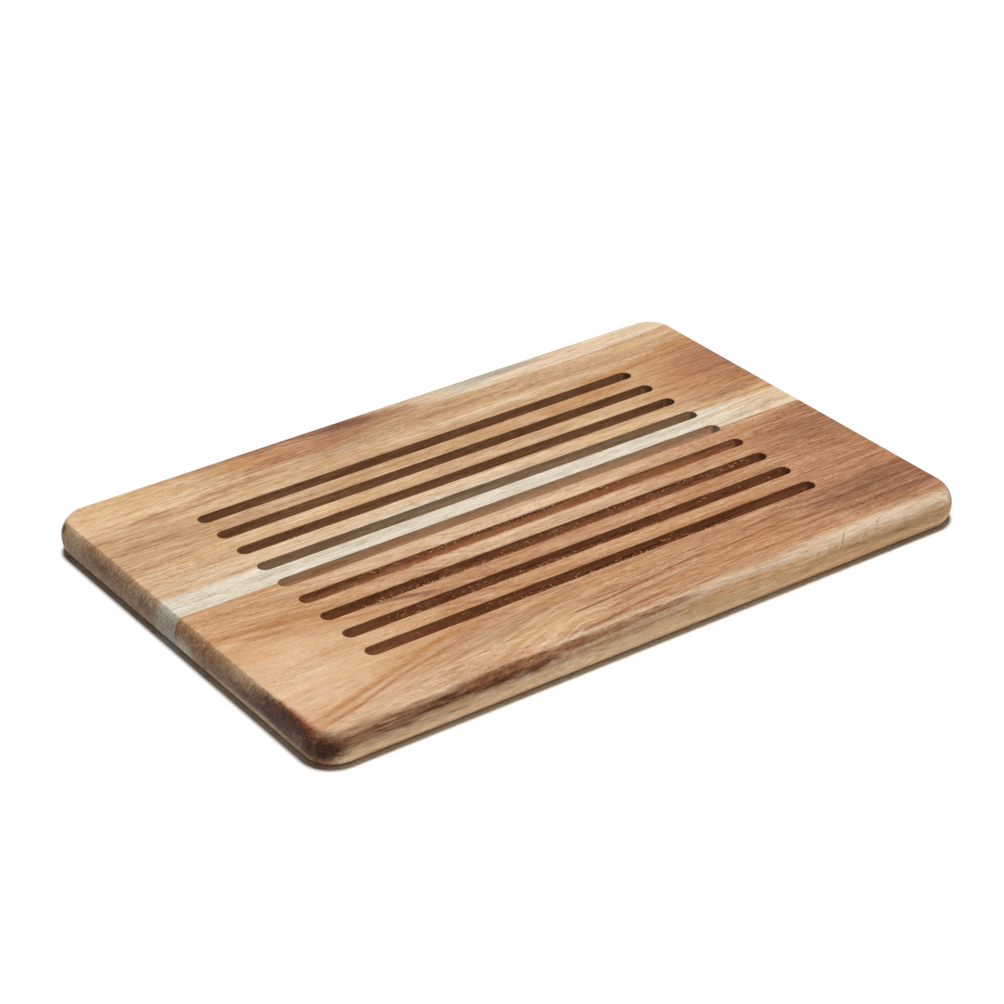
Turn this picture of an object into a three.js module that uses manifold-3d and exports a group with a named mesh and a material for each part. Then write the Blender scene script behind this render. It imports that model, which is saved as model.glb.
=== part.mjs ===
import * as THREE from 'three';
import { mergeVertices } from 'three/addons/utils/BufferGeometryUtils.js';
import Module from 'manifold-3d';

// Bread board: two solid acacia planks glued edge to edge, rounded all round,
// with nine round-ended crumb grooves routed into the top.
// Millimetres. The origin is the centre of the underside, +X runs along the
// grain and the grooves, +Y points to the rear plank, +Z is up.

// Board
const boardLength = 377;
const boardWidth = 251;
const boardThickness = 18;
const cornerRadius = 17;

// Edge, seen from the side: one arc from the underside to the top, which stands
// out this far at mid height, with a narrow flat there
const edgeBulge = 4;
const edgeFlat = 1;

// Crumb grooves, evenly pitched about the board's centre
const grooveCount = 9;
const groovePitch = 18.75;
const grooveWidth = 8;
const grooveLength = 264.5;
const grooveDepth = 8;
const rimChamfer = 0.4;

// Glue joint, which runs a little askew: its offsets from the board's
// long centre line, at the left end and at the right end
const jointOffsetLeft = 1.8;
const jointOffsetRight = -1.8;
const glueThickness = 0.2;

// How far a cutter runs past what it cuts
const cutOverrun = 10;

// Fineness of the round stretches
const cornerSegments = 8;
const edgeSegments = 12;
const grooveEndSegments = 4;

const wasm = await Module();
wasm.setup();

// Turns a closed three.js geometry into a solid that can be joined and cut
function solidFrom(geometry) {
  const bare = geometry.clone();
  bare.deleteAttribute('normal');
  bare.deleteAttribute('uv');
  const merged = mergeVertices(bare);
  const vertProperties = new Float32Array(merged.attributes.position.array);
  const triVerts = new Uint32Array(merged.index.array);
  return new wasm.Manifold(new wasm.Mesh({ numProp: 3, vertProperties, triVerts }));
}

// Turns a finished solid back into a named three.js mesh
function meshFrom(solid, name, material) {
  const { vertProperties, triVerts } = solid.getMesh();
  const geometry = new THREE.BufferGeometry();
  geometry.setAttribute('position', new THREE.BufferAttribute(vertProperties, 3));
  geometry.setIndex(new THREE.BufferAttribute(triVerts, 1));
  geometry.computeVertexNormals();
  const mesh = new THREE.Mesh(geometry, material);
  mesh.name = name;
  return mesh;
}

// Rectangle with four round corners, centred on the origin
function roundedRectangle(length, width, radius) {
  const x = length / 2 - radius;
  const y = width / 2 - radius;
  const shape = new THREE.Shape();
  shape.absarc(x, y, radius, 0, Math.PI / 2);
  shape.absarc(-x, y, radius, Math.PI / 2, Math.PI);
  shape.absarc(-x, -y, radius, Math.PI, 1.5 * Math.PI);
  shape.absarc(x, -y, radius, 1.5 * Math.PI, 2 * Math.PI);
  shape.closePath();
  return shape;
}

// All that lies between the board's planed underside and its planed top
function planedSlab() {
  const geometry = new THREE.BoxGeometry(
    boardLength + cutOverrun,
    boardWidth + cutOverrun,
    boardThickness,
  );
  geometry.translate(0, 0, boardThickness / 2);
  return solidFrom(geometry);
}

// The glued-up panel, trimmed to outline, with its edge rounded in one arc that
// the top and the underside cut off at a crisp crease
function boardBlank() {
  const arcHeight = (boardThickness - edgeFlat) / 2;
  const arcRadius = (arcHeight ** 2 + edgeBulge ** 2) / (2 * edgeBulge);
  const geometry = new THREE.ExtrudeGeometry(
    roundedRectangle(boardLength, boardWidth, cornerRadius),
    {
      depth: edgeFlat,
      curveSegments: cornerSegments,
      bevelThickness: arcRadius,
      bevelSize: arcRadius,
      bevelOffset: -arcRadius,
      bevelSegments: edgeSegments,
    },
  );
  geometry.translate(0, 0, arcHeight);
  return solidFrom(geometry).intersect(planedSlab());
}

// Path of the router bit: straight sides and two half-round ends
function grooveOutline() {
  return roundedRectangle(grooveLength, grooveWidth, grooveWidth / 2);
}

// The straight-sided, flat-bottomed groove that the router bit leaves
function grooveChannel() {
  const geometry = new THREE.ExtrudeGeometry(grooveOutline(), {
    depth: grooveDepth + cutOverrun,
    curveSegments: grooveEndSegments,
    bevelEnabled: false,
  });
  geometry.translate(0, 0, boardThickness - grooveDepth);
  return solidFrom(geometry);
}

// The broken edge round a groove's mouth: a cut that widens up to the top face
function grooveRim() {
  const geometry = new THREE.ExtrudeGeometry(grooveOutline(), {
    depth: cutOverrun,
    curveSegments: grooveEndSegments,
    bevelThickness: rimChamfer,
    bevelSize: rimChamfer,
    bevelSegments: 1,
  });
  geometry.translate(0, 0, boardThickness);
  return solidFrom(geometry);
}

// All the grooves' cutters, side by side across the board
function grooveCutters() {
  const cutter = grooveChannel().add(grooveRim());
  const firstY = -groovePitch * (grooveCount - 1) / 2;
  const cutters = [];
  for (let index = 0; index < grooveCount; index += 1) {
    cutters.push(cutter.translate(0, firstY + index * groovePitch, 0));
  }
  return wasm.Manifold.union(cutters);
}

// Where the joint's middle lies at a place along the board
function jointY(x) {
  const middle = (jointOffsetLeft + jointOffsetRight) / 2;
  const slope = (jointOffsetRight - jointOffsetLeft) / boardLength;
  return middle + slope * x;
}

// A block as tall as the board that spans it lengthwise between two lines
// parallel to the joint, given by their offsets from the joint's middle
function blockAlongJoint(nearOffset, farOffset) {
  const endX = boardLength / 2 + cutOverrun;
  const shape = new THREE.Shape([
    new THREE.Vector2(-endX, jointY(-endX) + nearOffset),
    new THREE.Vector2(endX, jointY(endX) + nearOffset),
    new THREE.Vector2(endX, jointY(endX) + farOffset),
    new THREE.Vector2(-endX, jointY(-endX) + farOffset),
  ]);
  const geometry = new THREE.ExtrudeGeometry(shape, {
    depth: boardThickness + 2 * cutOverrun,
    bevelEnabled: false,
  });
  geometry.translate(0, 0, -cutOverrun);
  return solidFrom(geometry);
}

const rearWood = new THREE.MeshStandardMaterial({
  color: 0xd2a273,
  roughness: 0.55,
  metalness: 0,
});
const frontWood = new THREE.MeshStandardMaterial({
  color: 0xcb9466,
  roughness: 0.55,
  metalness: 0,
});
const glue = new THREE.MeshStandardMaterial({
  color: 0xb08a5c,
  roughness: 0.6,
  metalness: 0,
});

const panel = boardBlank().subtract(grooveCutters());
const halfGlue = glueThickness / 2;
const plankReach = boardWidth;

const rearPlank = panel.intersect(blockAlongJoint(halfGlue, plankReach));
const frontPlank = panel.intersect(blockAlongJoint(-plankReach, -halfGlue));
const glueLine = panel.intersect(blockAlongJoint(-halfGlue, halfGlue));

const breadBoard = new THREE.Group();
breadBoard.add(
  meshFrom(rearPlank, 'rear_plank', rearWood),
  meshFrom(frontPlank, 'front_plank', frontWood),
  meshFrom(glueLine, 'glue_line', glue),
);

export default breadBoard;
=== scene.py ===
"""Looks of the bread board: two planks glued edge to edge, nine routed crumb grooves."""

import math
import random
from typing import NamedTuple

import bmesh
import bpy
from bpy.props import FloatProperty, FloatVectorProperty, IntProperty, PointerProperty
from bpy.types import Operator, Panel, PropertyGroup
from mathutils import Matrix, Vector


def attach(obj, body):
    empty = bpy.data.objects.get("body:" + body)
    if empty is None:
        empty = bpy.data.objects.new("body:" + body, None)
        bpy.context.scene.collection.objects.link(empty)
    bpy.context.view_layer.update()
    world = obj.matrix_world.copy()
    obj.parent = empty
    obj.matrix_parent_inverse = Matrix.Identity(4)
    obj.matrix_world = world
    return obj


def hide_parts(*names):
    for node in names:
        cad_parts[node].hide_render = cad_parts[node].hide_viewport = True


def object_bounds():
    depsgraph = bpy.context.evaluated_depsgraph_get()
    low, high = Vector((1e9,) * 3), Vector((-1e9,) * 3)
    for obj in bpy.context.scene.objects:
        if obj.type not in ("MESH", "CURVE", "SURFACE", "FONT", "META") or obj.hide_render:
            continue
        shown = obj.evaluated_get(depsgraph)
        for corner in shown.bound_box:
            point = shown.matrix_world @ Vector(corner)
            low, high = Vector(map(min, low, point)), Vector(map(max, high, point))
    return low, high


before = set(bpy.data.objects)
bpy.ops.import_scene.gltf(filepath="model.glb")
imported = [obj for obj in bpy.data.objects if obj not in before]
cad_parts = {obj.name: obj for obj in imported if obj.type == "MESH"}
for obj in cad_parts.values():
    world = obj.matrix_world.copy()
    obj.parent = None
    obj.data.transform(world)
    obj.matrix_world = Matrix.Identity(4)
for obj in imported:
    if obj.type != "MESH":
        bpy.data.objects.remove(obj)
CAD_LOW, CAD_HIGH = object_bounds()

bl_info = {
    "name": "Bread Board",
    "version": (1, 0, 0),
    "blender": (4, 5, 0),
    "location": "View3D > Sidebar > Bread Board",
    "description": "Builds a glued acacia bread board with crumb grooves and its stage",
    "category": "Object",
}

MM = 0.001
PER_METRE = 1000.0


# Settings


def distance(name, description, default):
    """A length setting, in metres."""
    return FloatProperty(name=name, description=description, default=default, unit="LENGTH")


class BreadBoardSizes(PropertyGroup):
    """Sizes of the board"""

    length: distance(
        "Length", "Length of the board along the grain", round(CAD_HIGH.x - CAD_LOW.x, 4)
    )
    width: distance(
        "Width", "Width of the board across the grain", round(CAD_HIGH.y - CAD_LOW.y, 4)
    )
    thickness: distance("Thickness", "Thickness of the board", round(CAD_HIGH.z - CAD_LOW.z, 4))
    corner_radius: distance(
        "Corner radius", "Radius of the four corners, seen from above", 17 * MM
    )
    edge_bulge: distance(
        "Edge bulge", "How far the edge's one arc stands out at mid height", 4 * MM
    )
    edge_flat: distance(
        "Edge flat", "Height of the narrow flat at the middle of the edge", 1 * MM
    )
    crease: distance(
        "Crease", "How much is sanded off the crease between edge and face", 0.25 * MM
    )
    groove_count: IntProperty(
        name="Grooves", description="How many crumb grooves there are", default=9, min=1
    )
    groove_pitch: distance(
        "Groove pitch", "Distance from the middle of one groove to the next", 18.75 * MM
    )
    groove_width: distance("Groove width", "Width of a groove", 8 * MM)
    groove_length: distance(
        "Groove length", "Length of a groove with its round ends", 264.5 * MM
    )
    groove_depth: distance("Groove depth", "Depth of a groove", 8 * MM)
    rim: distance("Groove rim", "Width of the broken edge round a groove's mouth", 0.4 * MM)
    joint_left: distance(
        "Joint at left end", "Where the joint meets the left end, from the middle line", 1.8 * MM
    )
    joint_right: distance(
        "Joint at right end",
        "Where the joint meets the right end, from the middle line",
        -1.8 * MM,
    )
    glue: distance("Glue film", "Thickness of the glue film in the joint", 0.2 * MM)


def tone(red, green, blue, name, description):
    """A colour setting, given as it looks on a screen, from 0 to 255."""
    return FloatVectorProperty(
        name=name,
        description=description,
        default=(red / 255, green / 255, blue / 255),
        min=0,
        max=1,
        size=3,
        subtype="COLOR_GAMMA",
    )


class BreadBoardColours(PropertyGroup):
    """Colours of the wood and the stage"""

    honey: tone(202, 164, 126, "Honey", "Heartwood of the rear plank")
    pale_honey: tone(222, 188, 147, "Pale honey", "Lightest heartwood")
    tan: tone(194, 157, 120, "Tan", "Plain heartwood between the grooves")
    pale_cream: tone(218, 189, 155, "Pale cream", "Heartwood beside the sapwood")
    pink_cream: tone(213, 178, 145, "Pink cream", "Light pinkish heartwood")
    orange_tan: tone(191, 145, 107, "Orange tan", "Heartwood of the front plank")
    apricot: tone(204, 161, 119, "Apricot", "Light orange heartwood")
    deep_orange: tone(190, 138, 90, "Deep orange", "Strong orange streaks")
    red_tan: tone(178, 128, 90, "Red tan", "Reddish growth bands")
    red_brown: tone(161, 114, 81, "Red brown", "Reddish brown heartwood")
    purple_brown: tone(136, 93, 72, "Purple brown", "Darkest heartwood")
    umber: tone(138, 92, 62, "Umber", "Thin dark grain lines")
    chocolate: tone(96, 58, 40, "Chocolate", "Dark rim of the front plank")
    russet: tone(150, 82, 54, "Russet", "Reddish rim at the near corner")
    olive_tan: tone(184, 150, 114, "Olive tan", "Greenish tan heartwood")
    peach: tone(224, 187, 151, "Peach", "Smooth light heartwood inside the growth arch")
    rust: tone(180, 125, 86, "Rust", "Growth lines of the arch")
    bare_cream: tone(255, 238, 208, "Bare cream", "Sapwood at the left end of the joint")
    cream: tone(226, 202, 173, "Cream", "Sapwood")
    white: tone(222, 211, 192, "White", "Bleached sapwood beside the joint")
    blue_grey: tone(184, 173, 155, "Blue grey", "Stained sapwood at the rear edge")
    edge_cream: tone(236, 203, 163, "Edge cream", "Sapwood of the front edge")
    edge_olive: tone(228, 186, 138, "Edge olive", "Yellowish sapwood of the front edge")
    rear_routed: tone(182, 150, 124, "Rear routed", "Torn wood in the rear plank's grooves")
    front_routed: tone(191, 150, 121, "Front routed", "Torn wood in the front plank's grooves")
    sap_routed: tone(222, 203, 180, "Sap routed", "Torn sapwood beside the joint")
    orange_routed: tone(252, 216, 180, "Orange routed", "Torn light heartwood")
    glue_film: tone(190, 160, 124, "Glue film", "Cured glue in the joint")
    joint_routed: tone(240, 215, 189, "Joint routed", "Torn sapwood in the joint's groove")
    torn: tone(230, 176, 130, "Torn fibres", "Fibres that the router bit tore loose")
    floor: tone(250, 250, 250, "Floor", "Table that the board lies on")


class BreadBoardStage(PropertyGroup):
    """Light on the stage"""

    key_power: FloatProperty(
        name="Key light", description="Power of the large soft lamp", default=356, unit="POWER"
    )
    fill: FloatProperty(
        name="Surroundings", description="Brightness of the surroundings", default=0.05, min=0
    )


# Wood figure, in millimetres in the board's frame

# Half width of a groove and height of the board's top
GROOVE_HALF_WIDTH = 4.0
BOARD_TOP = 18

# Each mark is an ellipsoid in the wood: tone, middle (at the board's top where its
# height is left out), half size, strength from 0 to 1, softness of the border from
# 0 to 1, raggedness of the border, and the turn in degrees about the vertical, if any
REAR_MARKS = (
    # tan and cream strips between the grooves
    ("tan", (-70, 65), (150, 8, 20), 0.6, 0.8, 0.3),
    ("apricot", (20, 66), (90, 7, 16), 0.6, 0.9, 0.3),
    ("deep_orange", (102, 66), (54, 7, 16), 0.95, 0.9, 0.5, 2),
    ("pale_honey", (-104, 47), (140, 7, 20), 0.55, 0.8, 0.3),
    ("pale_honey", (92, 47), (40, 7, 20), 0.5, 0.8, 0.3),
    ("pale_cream", (-72, 27), (176, 10, 20), 1.0, 0.5, 0.3),
    ("white", (-26, 23), (80, 4.5, 14), 0.6, 0.9, 0.5, 0.6),
    ("pale_honey", (92, 27), (60, 8, 16), 0.8, 0.8, 0.4, -1),
    # light and dark heartwood at the left rear
    ("pale_honey", (-168, 106), (84, 20, 20), 1.0, 0.6, 0.2),
    ("peach", (-172, 103), (40, 14, 18), 0.6, 0.9, 0.3),
    ("pale_honey", (-110, 84), (58, 6, 18), 0.9, 0.8, 0.3),
    ("pale_cream", (-100, 82), (32, 4, 18), 0.5, 0.9, 0.3),
    ("red_tan", (138, 47), (28, 6, 18), 0.45, 0.9, 0.4),
    ("honey", (-100, 120), (44, 6, 18), 0.6, 0.8, 0.4),
    ("red_tan", (-150, 93), (28, 6, 12), 0.85, 0.9, 0.8, -3),
    ("tan", (-162, 87), (20, 4, 12), 0.5, 0.9, 0.5),
    ("red_tan", (-182, 84), (14, 5, 12), 0.6, 0.9, 0.6),
    ("red_tan", (-100, 95), (36, 4.5, 16), 0.8, 0.8, 0.5, 1),
    ("deep_orange", (-84, 111.5), (34, 8, 18), 0.9, 0.9, 0.4, 3),
    ("deep_orange", (-118, 104), (18, 4, 18), 0.25, 0.9, 0.6, 4),
    ("pale_cream", (-122, 104), (46, 5, 18), 0.6, 0.9, 0.4, 2),
    ("red_brown", (-66, 121), (58, 9.5, 14), 1.0, 0.9, 0.4),
    ("purple_brown", (-40, 121), (36, 5, 14), 0.7, 0.9, 0.6, -2),
    ("red_tan", (-44, 108), (56, 14, 18), 0.9, 0.8, 0.5, 1),
    ("olive_tan", (-36, 96), (56, 5.5, 14), 0.9, 0.8, 0.5, 1),
    ("red_brown", (-22, 114), (38, 11, 16), 0.9, 0.8, 0.4),
    ("purple_brown", (-22, 118), (28, 6.5, 14), 0.9, 0.7, 0.4, -3),
    ("red_brown", (8, 112), (28, 6, 16), 0.7, 0.9, 0.6, 4),
    ("olive_tan", (18, 103), (42, 7, 16), 0.7, 0.8, 0.5, 1),
    ("red_tan", (18, 100), (16, 3, 12), 0.5, 0.9, 0.8, 3),
    # sapwood along the rear edge
    ("tan", (92, 96), (104, 6, 20), 0.55, 0.8, 0.4),
    ("pale_cream", (108, 104.5), (60, 4.5, 18), 0.8, 0.9, 0.3, 0.8),
    ("pale_honey", (158, 102.5), (52, 4.5, 18), 0.9, 0.8, 0.3, 1),
    ("cream", (112, 118.5, 16), (106, 12.5, 22), 1.0, 0.22, 0.12, -0.6),
    ("white", (52, 115), (40, 7, 14), 0.75, 0.9, 0.5, -1),
    ("blue_grey", (74, 120), (54, 5.5, 14), 1.0, 0.9, 0.6, -1),
    ("white", (30, 120), (42, 4, 14), 0.35, 0.9, 0.6),
    ("blue_grey", (46, 113), (16, 1.4, 6), 0.6, 0.8, 0.8, 8),
    ("purple_brown", (76, 101.5), (9, 1.3, 6), 0.45, 0.9, 0.8, 4),
    ("purple_brown", (84, 95), (11, 1.2, 6), 0.45, 0.9, 0.8, 4),
    ("purple_brown", (98, 102), (6, 1.0, 6), 0.4, 0.9, 0.8, 2),
    # smooth light band behind the first groove
    ("pale_cream", (56, 87), (104, 6, 16), 0.9, 0.8, 0.3, 1.5),
    # red-brown heartwood at the right end
    ("deep_orange", (204, 56), (96, 46, 60), 1.0, 0.6, 0.15),
    ("red_tan", (202, 58, 16), (76, 42, 60), 1.0, 0.7, 0.3),
    ("red_brown", (202, 62, 16), (62, 38, 60), 0.95, 0.8, 0.3),
    ("red_brown", (178, 27.5, 16), (52, 8, 30), 0.9, 0.8, 0.5, -2),
    ("red_tan", (172, 80), (36, 6, 20), 0.6, 0.9, 0.5, 4),
    ("tan", (146, 68), (18, 7, 20), 0.4, 0.9, 0.5),
    ("umber", (166, 81), (10, 0.9, 8), 0.7, 0.8, 0.6, 4),
    ("umber", (158, 70), (18, 1.0, 10), 0.4, 0.8, 0.9, 2),
    ("umber", (150, 43), (8, 0.8, 8), 0.6, 0.8, 0.6, 12),
    # bleached sapwood beside the joint, yellower at the right end
    ("white", (0, -19), (1100, 40.5, 400), 1.0, 0.05, 0.03),
    ("apricot", (190, 21.5), (68, 7.5, 30), 1.0, 0.7, 0.4),
    ("pale_honey", (190, 13.5), (70, 7, 60), 0.85, 0.8, 0.4),
    ("cream", (190, 3), (82, 11, 60), 1.0, 0.6, 0.2),
    ("olive_tan", (174, 8), (34, 7, 30), 0.35, 0.9, 0.8),
    ("blue_grey", (148, 3), (18, 3, 10), 0.5, 0.9, 1.0, 4),
    ("blue_grey", (-168, 12), (14, 3, 10), 0.6, 0.9, 1.0),
    ("umber", (170, 5.5), (8, 0.8, 8), 0.5, 0.9, 0.8, 4),
    ("umber", (-140, 22.3), (18, 0.6, 10), 0.6, 0.8, 0.6, 1),
    # thin grain lines at the left end
    ("umber", (-172, 76), (16, 0.8, 8), 0.4, 0.8, 0.8, -3),
    ("red_tan", (-163, 45), (22, 0.8, 8), 0.55, 0.8, 0.6),
    ("olive_tan", (-158, 70), (34, 3.0, 8), 0.6, 0.9, 0.8),
    ("olive_tan", (-92, 65), (36, 3.0, 8), 0.6, 0.9, 0.8),
    ("olive_tan", (-158, 36), (28, 1.5, 8), 0.5, 0.8, 0.6),
    ("olive_tan", (-153, 28), (28, 1.6, 8), 0.5, 0.8, 0.8, 2),
    # pale sapwood and dark patches of the left end
    ("white", (-188, 8, 4), (6, 20, 14), 0.8, 0.8, 0.2),
    # painted contact shade: darker towards the bottom at the rear corner of the left end
    ("umber", (-188, 108, 2), (8, 14, 4), 0.75, 0.8, 0.3),
    ("umber", (-189, 70, 12), (5, 16, 7), 0.6, 0.9, 0.4),
    ("umber", (-189, 30, 12), (5, 10, 7), 0.5, 0.9, 0.4),
    ("chocolate", (-186, 113, 14), (3, 4, 4), 0.9, 0.6, 0.3),
)

FRONT_MARKS = (
    # light heartwood to the left, red-brown to the right
    ("apricot", (-175, -60), (110, 110, 60), 0.9, 0.7, 0.15),
    ("red_tan", (206, -60, 16), (112, 104, 60), 1.0, 0.7, 0.2),
    ("red_brown", (204, -28, 16), (86, 38, 60), 1.0, 0.8, 0.3),
    # strips between the grooves
    ("pink_cream", (-24, -9), (146, 8, 20), 1.0, 0.5, 0.3),
    ("pink_cream", (2, -28), (108, 8, 20), 1.0, 0.6, 0.3),
    ("pink_cream", (-78, -28), (24, 6, 18), 0.7, 0.9, 0.4),
    ("red_tan", (78, -28), (26, 6, 18), 0.5, 0.9, 0.4),
    ("apricot", (45, -47), (60, 6, 20), 0.3, 0.8, 0.4),
    ("apricot", (40, -66), (110, 6, 20), 0.4, 0.8, 0.4),
    # pale heartwood inside the growth arch
    ("peach", (-190, -74), (112, 42, 60), 1.0, 0.6, 0.1),
    ("apricot", (-172, -73), (22, 6, 14), 0.5, 0.9, 0.4, 6),
    ("apricot", (-122, -66), (60, 14, 14), 0.8, 0.9, 0.5, 4),
    ("apricot", (-112, -84), (46, 9, 14), 0.8, 0.9, 0.5, 10),
    ("red_tan", (-190, -26), (16, 10, 14), 0.85, 0.9, 0.4, -6),
    ("orange_tan", (-140, -46), (34, 6, 24), 0.8, 0.9, 0.4, -10),
    # pale wood outside the arch
    ("pink_cream", (-128, -113), (66, 11, 24), 0.95, 0.8, 0.4, 6),
    ("pale_honey", (-58, -106), (60, 14, 24), 0.85, 0.8, 0.3, 4),
    ("olive_tan", (-70, -97), (38, 9, 24), 0.7, 0.9, 0.9, 4),
    ("apricot", (-42, -110), (18, 5, 20), 0.6, 0.9, 0.6, 10),
    ("apricot", (4, -88), (70, 5, 24), 0.9, 0.8, 0.4, 2),
    ("orange_tan", (-124, -112), (28, 5, 18), 0.55, 0.9, 0.4, 4),
    # brown wood in front of the last groove
    ("red_tan", (76, -87), (36, 5, 18), 0.6, 0.9, 0.5),
    ("red_tan", (114, -83), (26, 5, 18), 0.5, 0.9, 0.5),
    ("deep_orange", (60, -103), (90, 10, 24), 0.5, 0.9, 0.5, 3),
    ("honey", (16, -104), (60, 5, 24), 0.7, 0.9, 0.5, 3),
    ("red_tan", (30, -113), (60, 3, 18), 0.5, 0.9, 0.6, 3),
    ("red_brown", (-18, -115.5), (30, 1.6, 14), 0.6, 0.8, 0.6, 4.5),
    # red-brown heartwood at the right end
    ("red_brown", (166, -88, 16), (90, 14, 40), 1.0, 0.8, 0.4),
    ("red_brown", (178, -104, 16), (92, 14, 40), 1.0, 0.8, 0.3),
    ("red_tan", (108, -111.5), (36, 4.5, 18), 0.9, 0.9, 0.4),
    ("umber", (184, -96, 16), (84, 15, 40), 1.0, 0.7, 0.4, -2),
    ("umber", (176, -84, 16), (60, 8, 30), 0.4, 0.9, 0.4),
    ("umber", (130, -97), (30, 5, 18), 0.5, 0.9, 0.5),
    ("umber", (166, -28), (18, 4, 10), 0.45, 0.9, 0.8, 12),
    ("umber", (166, -20), (20, 1.4, 10), 0.4, 0.9, 0.9, -2),
    ("umber", (160, -50), (20, 1.0, 10), 0.35, 0.8, 0.9, 2),
    ("apricot", (158, -4), (34, 3, 18), 0.8, 0.9, 0.3),
    # sapwood along the front edge
    ("cream", (0, -123), (250, 8, 8), 0.85, 0.9, 0.5),
    ("cream", (136, -123.5), (104, 11, 9), 1.0, 0.6, 0.2),
    ("edge_cream", (0, -127.5, 2), (420, 9, 13), 1.0, 0.3, 0.1),
    ("edge_olive", (130, -128, 10), (170, 7, 13), 0.9, 0.4, 0.15),
    ("olive_tan", (150, -125, 12.5), (74, 7, 5.5), 0.5, 0.8, 0.4),
    # darker towards the bottom of the front edge at the right
    ("umber", (156, -128, 2), (66, 7, 6.5), 0.85, 0.9, 0.4),
    ("honey", (-134, -128, 9), (50, 7, 3.5), 0.85, 0.9, 0.5),
    # dark rim at the left of the front edge
    ("umber", (-156, -128), (66, 8, 9), 1.0, 0.5, 0.3),
    ("umber", (-88, -126, 18.5), (54, 8, 6.3), 1.0, 0.35, 0.3),
    ("red_brown", (-30, -123.4, 17.4), (72, 4, 2.8), 0.95, 0.5, 0.4),
    ("chocolate", (-92, -125, 14.8), (56, 5, 2.6), 0.75, 0.8, 0.5),
    ("chocolate", (-126, -125.2, 15.8), (30, 5, 3.8), 0.7, 0.6, 0.4),
    ("chocolate", (-150, -128, 14), (26, 6, 6), 0.9, 0.7, 0.5),
    ("chocolate", (-188, -121, 11), (20, 17, 10), 1.0, 0.6, 0.2),
    ("russet", (-187, -108), (6, 32, 4.5), 0.9, 0.6, 0.3),
    ("chocolate", (-188, -92, 15), (5.5, 34, 6), 0.9, 0.6, 0.3),
    ("umber", (-190, -72, 9), (7, 52, 8), 0.7, 0.8, 0.4),
    ("purple_brown", (-190, -90, 9), (6, 24, 7), 0.8, 0.8, 0.4),
    ("chocolate", (-190, -25, 9), (7, 0.7, 12), 0.7, 0.8, 0.2),
    # lighter towards the bottom of the left end
    ("edge_cream", (-189, -60, 2), (8, 74, 5.8), 1.0, 0.5, 0.3),
    ("chocolate", (-190, -84, 10), (7, 44, 4.5), 0.55, 0.8, 0.4),
    ("bare_cream", (-190, -6, 6), (8, 12, 7), 1.0, 0.6, 0.2),
)

# Growth lines, seen from above: tone, half width in mm, strength, softness,
# raggedness, and the points that the line runs through from left to right
REAR_LINES = (
    # brown line under the sapwood along the rear edge
    ("deep_orange", 1.5, 0.3, 0.9, 0.4,
     ((66, 105), (90, 105.8), (118, 106.6), (150, 107.5), (188, 107))),
    # orange band that climbs to the right end
    ("deep_orange", 4.4, 1.0, 0.9, 0.3, ((96, 78), (118, 80), (140, 82), (160, 86), (188, 92))),
    ("red_brown", 1.0, 0.5, 0.9, 0.7, ((126, 79), (145, 81.5), (166, 86), (188, 92))),
    ("red_brown", 2.4, 0.65, 0.9, 0.5, ((130, 80), (150, 81), (170, 81.6), (196, 84))),
    # dark rim at the rear
    ("purple_brown", 0.9, 0.85, 0.6, 0.6, ((-112, 121), (-80, 120.8), (-48, 121))),
    # thin lines in the light wood at the left
    ("umber", 0.6, 0.5, 0.8, 0.8, ((-185, 66.5), (-160, 67), (-138, 69))),
    ("umber", 0.5, 0.4, 0.8, 0.8, ((-182, 71), (-160, 71.5), (-140, 71))),
    ("umber", 0.5, 0.4, 0.8, 0.8, ((-150, 88.5), (-130, 88.6), (-108, 90))),
    ("red_tan", 0.8, 0.6, 0.8, 0.6, ((-184, 50), (-165, 50.5), (-140, 51))),
    ("red_tan", 0.6, 0.5, 0.9, 0.6, ((-90, 99), (-72, 101), (-52, 104))),
    ("red_brown", 1.1, 0.8, 0.9, 0.6, ((-96, 100.8), (-84, 101.6), (-70, 102.5), (-52, 104))),
    ("umber", 0.6, 0.7, 0.9, 0.7, ((-90, 103.8), (-78, 104.7), (-62, 105.6))),
    ("umber", 0.5, 0.45, 0.9, 0.8, ((-84, 102), (-70, 103.4), (-60, 104))),
    ("umber", 0.5, 0.4, 0.9, 0.8, ((-60, 95), (-30, 97), (-8, 99))),
    # streaks beside the third groove and at the right end
    ("red_tan", 0.9, 0.6, 0.9, 0.5, ((74, 31.5), (90, 32), (108, 31))),
    ("umber", 0.8, 0.5, 0.9, 0.8, ((138, 30), (158, 27.5), (186, 26.5))),
    ("umber", 0.8, 0.4, 0.9, 0.8, ((134, 33), (155, 31), (176, 29))),
    ("red_tan", 1.0, 0.5, 0.9, 0.8, ((128, 48), (150, 46), (172, 40), (188, 36))),
    ("red_tan", 1.2, 0.5, 0.9, 0.8, ((132, 72), (156, 66), (188, 62))),
)
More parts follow.
